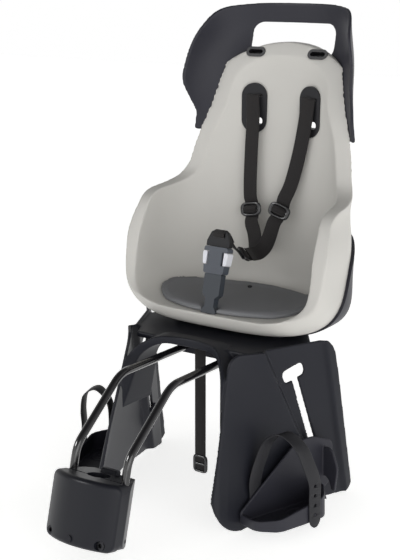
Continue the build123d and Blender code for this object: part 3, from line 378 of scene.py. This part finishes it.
harness = {
    "webWidth": 0.025, "tongueWidth": 0.020, "webWall": 0.0016,       # metres
    "slideAt": 9, "tongueSlideAt": 4,      # the stations where the slides sit
    # stations: place in mm, and the web's rise for each unit to the rider's left
    "left": [      # from the end that is folded in the guide's slot
        ((53, 493, 535.1), 0), ((53, 501.5, 535.1), 0), ((53, 503.6, 536.1), 0), ((53, 501.5, 537), 0),
        ((53, 489.3, 537), 0), ((52, 486.6, 531), -0.05), ((49, 484.7, 500), -0.1),
        ((42, 480.2, 450), -0.17), ((33, 471.1, 400), -0.2), ((20, 456.4, 356), -0.3),
        ((15, 451.9, 340), -0.4), ((9, 445.1, 314), -0.7), ((5, 438, 298.5), -1.0),
        ((0.5, 428.1, 290.5), -1.2), ((-2.4, 417, 289.6), -1.2), ((-1.6, 406, 290.7), -1.1),
        ((-0.7, 398, 292.6), -1.0)],
    "right": [
        ((-53, 493, 535.1), 0), ((-53, 501.5, 535.1), 0), ((-53, 503.6, 536.1), 0), ((-53, 501.5, 537), 0),
        ((-53, 489.3, 537), 0), ((-52.5, 486.5, 531), 0.02), ((-50, 484.6, 500), 0.03),
        ((-48, 477.4, 450), 0.04), ((-45, 469.9, 400), 0.08), ((-38, 461.9, 352), 0.1),
        ((-34, 458.7, 336), 0.1), ((-25, 452, 316), 0.1), ((-18, 445.5, 300), 0.05),
        ((-12, 438.5, 289), 0.0)],
    "tongue": [
        ((0, 313.9, 337), 0), ((0, 325.9, 337), 0), ((0, 340, 322), -0.2), ((-1, 360, 307.4), -0.6),
        ((-1.6, 375, 299), -0.9), ((-2.4, 397, 291), -1.0), ((-4, 411, 288.9), -1.2),
        ((-4.7, 423, 288.3), -1.3)],
    "loop": [     # over the tongue's bar, and back down on the strap
        ((0, 320, 335.3), 0), ((0, 313.5, 335.4), 0), ((0, 310.6, 337.6), 0), ((0, 311, 342), 0),
        ((0, 314.3, 345.3), 0), ((0, 319.1, 345.8), 0), ((0, 323.3, 343.5), 0), ((0, 328, 339.5), 0),
        ((0, 333.9, 332.6), 0), ((0, 341, 324.4), -0.2)],
}


def webRoute(stations):
    return [(Vector(place) / 1000, Vector((1, 0, lean)).normalized()) for place, lean in stations]


# Ladder slide: a rounded frame with a bar that the web goes over

slideMesh = {"sides": 12, "turns": 64, "bar": (-1, -0.5, 0, 0.5, 1), "easeRounds": 4}


def addTube(body, path, closed, thickness, deep, out):
    sides = slideMesh["sides"]
    turns = [math.tau * k / sides for k in range(sides)]
    rings = []
    for i, point in enumerate(path):
        ahead = path[(i + 1) % len(path)] if closed or i + 1 < len(path) else point
        behind = path[i - 1] if closed or i else point
        side = (ahead - behind).cross(out).normalized()
        spots = [point + side * (math.cos(a) * thickness[i]) + out * (math.sin(a) * deep) for a in turns]
        rings.append([body.verts.new(spot) for spot in spots])
    for i in range(len(rings) if closed else len(rings) - 1):
        following = rings[(i + 1) % len(rings)]
        for k in range(sides):
            n = (k + 1) % sides
            body.faces.new((rings[i][k], rings[i][n], following[n], following[k]))
    if not closed:
        body.faces.new(list(reversed(rings[0])))
        body.faces.new(rings[-1])


def ladderSlide(name, centre, across, along, sizes):
    out = along.cross(across).normalized()
    body = bmesh.new()
    ear = sizes["tube"] * (1 + sizes["ears"])      # the frame's ends are thicker than its long sides
    halfAcross, halfAlong = sizes["width"] / 2 - ear, sizes["length"] / 2 - sizes["tube"]
    frameLine, thickness = [], []
    for i in range(slideMesh["turns"]):
        turn = math.tau * i / slideMesh["turns"]
        x = math.copysign(abs(math.cos(turn)) ** (2 / sizes["square"]), math.cos(turn))
        y = math.copysign(abs(math.sin(turn)) ** (2 / sizes["square"]), math.sin(turn))
        frameLine.append(centre + across * (x * halfAcross) + along * (y * halfAlong))
        thickness.append(sizes["tube"] + (ear - sizes["tube"]) * math.cos(turn) ** 2)
    addTube(body, frameLine, True, thickness, sizes["deep"], out)
    barLine = [centre + across * (halfAcross * t) for t in slideMesh["bar"]]
    addTube(body, barLine, False, [sizes["tube"]] * len(barLine), sizes["deep"], out)
    obj = meshPiece(name, body)
    grid = obj.modifiers.new("grid", "REMESH")
    grid.mode = "VOXEL"
    grid.voxel_size = sizes["grid"]
    ease = obj.modifiers.new("ease", "SMOOTH")
    ease.iterations = slideMesh["easeRounds"]
    applyModifiers(obj)
    smoothShade(obj)
    return obj


slides = {      # metres
    "adjuster": {"width": 0.040, "length": 0.024, "tube": 0.0023, "ears": 0.7, "deep": 0.003, "square": 3.4,
                 "grid": 0.0006},
    "tongue": {"width": 0.029, "length": 0.019, "tube": 0.0022, "ears": 0.3, "deep": 0.0026, "square": 4.0,
               "grid": 0.0006},
    "safety": {"width": 0.027, "length": 0.030, "tube": 0.0022, "ears": 0.2, "deep": 0.003, "square": 6.0,
               "grid": 0.0007},
    "lift": 0.0042, "tuck": 0.003,      # how far the web stands over the bar, and lies under the ends
}

# half lengths from the bar, and shares of the tuck and of the lift
threadSteps = ((1.8, 0, 0), (1.0, 1, 0), (0.5, 0.8, 0), (0.24, 0, 0.7))


def threadSlide(centre, along, across, halfLength, front):     # under the frame, over the bar, under again
    steps = [(far, slides["lift"] * up - slides["tuck"] * down) for far, down, up in threadSteps]
    before = [(-far, rise) for far, rise in steps]
    steps = before + [(0, slides["lift"])] + list(reversed(steps))
    return [(centre + along * (halfLength * far) + front * rise, across) for far, rise in steps]


for side in ("left", "right"):
    route = webRoute(harness[side])
    at = harness["slideAt"]
    centre, across = route[at]
    along = (route[at + 1][0] - route[at - 1][0]).normalized()
    across = (across - along * across.dot(along)).normalized()
    front = along.cross(across)
    front = front if front.y < 0 else -front
    route[at:at + 2] = threadSlide(centre, along, across, slides["adjuster"]["length"] / 2, front)
    web = ribbon("shoulderWeb_" + side, route, harness["webWidth"], harness["webWall"])
    standFor(web, "seat", "shoulder_strap_" + side)
    slide = ladderSlide("adjusterFrame_" + side, centre, across, along, slides["adjuster"])
    standFor(slide, "seat", "strap_adjuster_" + side)

tongueRoute = webRoute(harness["tongue"])
at = harness["tongueSlideAt"]
(before, leanBefore), (after, leanAfter) = tongueRoute[at:at + 2]
centre = (before + after) / 2
along = (after - before).normalized()
across = (leanBefore + leanAfter).normalized()
across = (across - along * across.dot(along)).normalized()
front = along.cross(across)
front = front if front.x > 0 else -front
slide = ladderSlide("tongueSlide", centre, across, along, slides["tongue"])
standFor(slide, "seat", "tongue_slide")
tongueRoute[at:at + 2] = threadSlide(centre, along, across, slides["tongue"]["length"] / 2, front)
tongueWeb = ribbon("tongueWeb", tongueRoute, harness["tongueWidth"], harness["webWall"])
dress(tongueWeb, "webbing")
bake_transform(tongueWeb)
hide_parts("tongue_strap")
loopWeb = ribbon("tongueLoop", webRoute(harness["loop"]), harness["tongueWidth"], harness["webWall"])
dress(loopWeb, "webbing")
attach(loopWeb, "tongue")

safetyLow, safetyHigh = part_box("safety_strap")
safetyWidth = safetyHigh.x - safetyLow.x
safetyY = (safetyLow.y + safetyHigh.y) / 2
safetyParts = 6
safetyDrop = safetyHigh.z - safetyLow.z
safetyHeights = [safetyLow.z + safetyDrop * t / safetyParts for t in range(safetyParts + 1)]
safetyRoute = [((0, safetyY, height), (1, 0, 0)) for height in safetyHeights]
safetyWeb = ribbon("safetyWeb", safetyRoute, safetyWidth, harness["webWall"])
standFor(safetyWeb, "seat", "safety_strap")
buckleLow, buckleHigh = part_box("safety_buckle")
centre = (buckleLow + buckleHigh) / 2
slide = ladderSlide("safetySlide", centre, Vector((1, 0, 0)), Vector((0, 0, 1)), slides["safety"])
standFor(slide, "seat", "safety_buckle")
print("webbing made")


# Foot straps: soft bands over each foot cup, with a row of holes that go over a stud

footBand = {      # mm, from the middle of the slot: backwards, inwards, up
    "origin": (167.2, 344.7, 0.0),
    "back": (0.32255, 0.94655, 0.0), "inward": (-0.94587, 0.32232, -0.03781),      # the leg panel's own
    "width": 22.0, "wall": 2.2, "tip": 16.0, "hole": 2.5, "punch": 12.0, "holeSides": 20,
    "route": [
        (-140, -17.1, -44), (-140, -17.1, -20), (-140, -17.1, 4), (-130.3, -18.8, 33.8),
        (-120.7, -26.9, 62.5), (-111, -50.5, 78), (-101.3, -74.1, 62.5), (-91.7, -82.2, 33.8),
        (-82, -83.9, 4), (-82, -83.9, -20), (-82, -83.9, -40), (-82, -83.9, -52),
        (-82, -83.9, -58), (-82, -83.9, -62), (-82, -83.9, -65)],
    "holes": [(-140, -17.1, -36), (-82, -83.9, -45), (-82, -83.9, -30), (-82, -83.9, -15), (-82, -83.9, 0)],
}


def footPlace(place, mirror):
    back, inward = Vector(footBand["back"]), Vector(footBand["inward"])
    spot = Vector(footBand["origin"]) + back * place[0] + inward * place[1] + back.cross(inward) * place[2]
    return Vector((spot.x * mirror, spot.y, spot.z)) / 1000


for side, mirror in (("left", 1), ("right", -1)):
    back = Vector((footBand["back"][0] * mirror, *footBand["back"][1:]))
    inward = Vector((footBand["inward"][0] * mirror, *footBand["inward"][1:]))
    route = [(footPlace(place, mirror), back) for place in footBand["route"]]
    width, wall, tip = [footBand[key] / 1000 for key in ("width", "wall", "tip")]
    hole, punchDeep = footBand["hole"] / 1000, footBand["punch"] / 1000
    band = ribbon("footBand_" + side, route, width, wall, tip)
    punches = bmesh.new()
    for place in footBand["holes"]:
        stand = inward.to_track_quat("Z", "Y").to_matrix().to_4x4()
        stand.translation = footPlace(place, mirror)
        bmesh.ops.create_cone(punches, cap_ends=True, segments=footBand["holeSides"], radius1=hole,
                              radius2=hole, depth=punchDeep, matrix=stand)
    punch = meshPiece("punch", punches)
    cut = band.modifiers.new("holes", "BOOLEAN")
    cut.operation = "DIFFERENCE"
    cut.object = punch
    applyModifiers(band)
    bpy.data.objects.remove(punch)
    standFor(band, "foot_" + side, "foot_strap_" + side)
print("foot straps made")


# Seat pad: a soft foam sheet, a little swollen, lying flat on the pan

padLook = {"gridMm": 2.5, "pressure": 4.0, "frames": 20, "capMm": 1.5, "fill": 0.5, "smoothRounds": 5}


def makePad():
    pad = copyNode("seat_pad", "loosePad")
    grid = pad.modifiers.new("grid", "REMESH")
    grid.mode = "VOXEL"
    grid.voxel_size = padLook["gridMm"] / 1000
    ease = pad.modifiers.new("ease", "SMOOTH")
    ease.iterations = padLook["smoothRounds"]
    applyModifiers(pad)
    rest = [v.co.copy() for v in pad.data.vertices]
    ground = min(p.z for p in rest)
    cloth = pad.modifiers.new("swell", "CLOTH")
    cloth.settings.use_pressure = True
    cloth.settings.uniform_pressure_force = padLook["pressure"]
    cloth.settings.effector_weights.gravity = 0
    for step in range(1, padLook["frames"] + 1):
        scene.frame_set(step)
    applyModifiers(pad)
    for vertex, start in zip(pad.data.vertices, rest):
        shift = vertex.co - start
        if shift.length > padLook["capMm"] / 1000:
            shift = shift.normalized() * padLook["capMm"] / 1000
        vertex.co = start + shift
        vertex.co.z = max(vertex.co.z, ground)
    scene.frame_set(1)
    subdivide = pad.modifiers.new("finer", "SUBSURF")
    subdivide.levels = 1
    subdivide.render_levels = 1
    smoothShade(pad)
    return pad


pad = makePad()
standFor(pad, "seat", "seat_pad")

stud = {      # mm, the eyelet that vents the pad: its rings from the hole outwards, as radius and height
    "place": (0, 402), "sides": 32,
    "profile": ((1.6, -2.0), (1.6, 0.2), (2.3, 1.0), (3.2, 1.0), (4.0, 0.0), (3.4, -2.0)),
}
padTop = max(v.co.z for v in pad.data.vertices)
body = bmesh.new()
rings = []
for i in range(stud["sides"]):
    turn = math.tau * i / stud["sides"]
    ring = []
    for radius, rise in stud["profile"]:
        x = stud["place"][0] + radius * math.cos(turn)
        y = stud["place"][1] + radius * math.sin(turn)
        ring.append(body.verts.new((x / 1000, y / 1000, padTop + rise / 1000)))
    rings.append(ring)
for i, ring in enumerate(rings):
    following = rings[(i + 1) % len(rings)]
    for k in range(len(ring)):
        n = (k + 1) % len(ring)
        body.faces.new((ring[k], ring[n], following[n], following[k])).smooth = True
padStud = meshPiece("padStud", body)
dress(padStud, "insertPlastic")
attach(padStud, "seat")


# Floor, light and camera

studio = {      # the paper glows, and the air is brighter low down
    "floor": "#FCFCFB", "floorSize": 14, "floorRough": 0.9, "glow": 0.72,
    "airLow": 1.0, "airHigh": 0.1, "fadeFrom": -0.3, "fadeTo": 0.9,
}
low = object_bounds()[0][2]
bpy.ops.mesh.primitive_plane_add(size=studio["floorSize"], location=(0, 0, low))
floor = bpy.context.object
floor.name = "studioFloor"
floorMaterial, floorTree, floorShader = startMaterial("floorPaper")
floorShader.inputs["Base Color"].default_value = linear(studio["floor"])
floorShader.inputs["Roughness"].default_value = studio["floorRough"]
floorShader.inputs["Emission Color"].default_value = linear(studio["floor"])
floorShader.inputs["Emission Strength"].default_value = studio["glow"]
floor.data.materials.append(floorMaterial)

world = bpy.data.worlds.new("studioAir")
scene.world = world
world.use_nodes = True
air = world.node_tree
direction = addNode(air, "ShaderNodeTexCoord").outputs["Generated"]
heading = addNode(air, "ShaderNodeSeparateXYZ", {}, {0: direction})
span = {"From Min": studio["fadeFrom"], "From Max": studio["fadeTo"],
        "To Min": studio["airLow"], "To Max": studio["airHigh"]}
fade = addNode(air, "ShaderNodeMapRange", span, {"Value": heading.outputs["Z"]})
air.links.new(fade.outputs["Result"], air.nodes["Background"].inputs["Strength"])
paper = addNode(air, "ShaderNodeBackground", {"Strength": 1.0, "Color": (1, 1, 1, 1)})
seen = addNode(air, "ShaderNodeLightPath")      # white paper behind, dimmer air round the object
mixed = addNode(air, "ShaderNodeMixShader", {}, {0: seen.outputs["Is Camera Ray"],
                                                 1: air.nodes["Background"].outputs["Background"],
                                                 2: paper.outputs["Background"]})
air.links.new(mixed.outputs["Shader"], air.nodes["World Output"].inputs["Surface"])
air.nodes["Background"].inputs["Color"].default_value = (1, 1, 1, 1)

lights = {      # broad soft lamps far off, so that the floor is lit evenly
    "key": {"place": (2.8, -1.4, 0.5), "spread": 60, "strength": 1.4},
    "fill": {"place": (-0.4, -2.8, 0.2), "spread": 70, "strength": 0.55},
    "rear": {"place": (0.6, 2.6, 0.4), "spread": 60, "strength": 0.25},
    "glint": {"place": (-1.6, -2.0, 2.2), "spread": 14, "strength": 1.1},       # for highlights alone
}
aim = Vector((0.0, 0.25, 0.3))
for name, light in lights.items():
    lamp = bpy.data.lights.new(name, "SUN")
    lamp.energy = light["strength"]
    lamp.angle = math.radians(light["spread"])
    obj = bpy.data.objects.new(name, lamp)
    obj.location = light["place"]
    obj.rotation_euler = (aim - obj.location).to_track_quat("-Z", "Y").to_euler()
    obj.visible_diffuse = name != "glint"
    scene.collection.objects.link(obj)

view = {"place": (1.0517, -1.2410, 0.7493), "turn": 35.0, "tilt": 14.4, "lens": 79.84, "film": 36}
camera = bpy.data.cameras.new("photoCamera")
camera.lens = view["lens"]
camera.sensor_width = view["film"]
cameraObject = bpy.data.objects.new("photoCamera", camera)
cameraObject.location = view["place"]
cameraObject.rotation_euler = (math.radians(90 - view["tilt"]), 0, math.radians(view["turn"]))
scene.collection.objects.link(cameraObject)
scene.camera = cameraObject
scene.view_settings.view_transform = "Standard"
print("stage set")
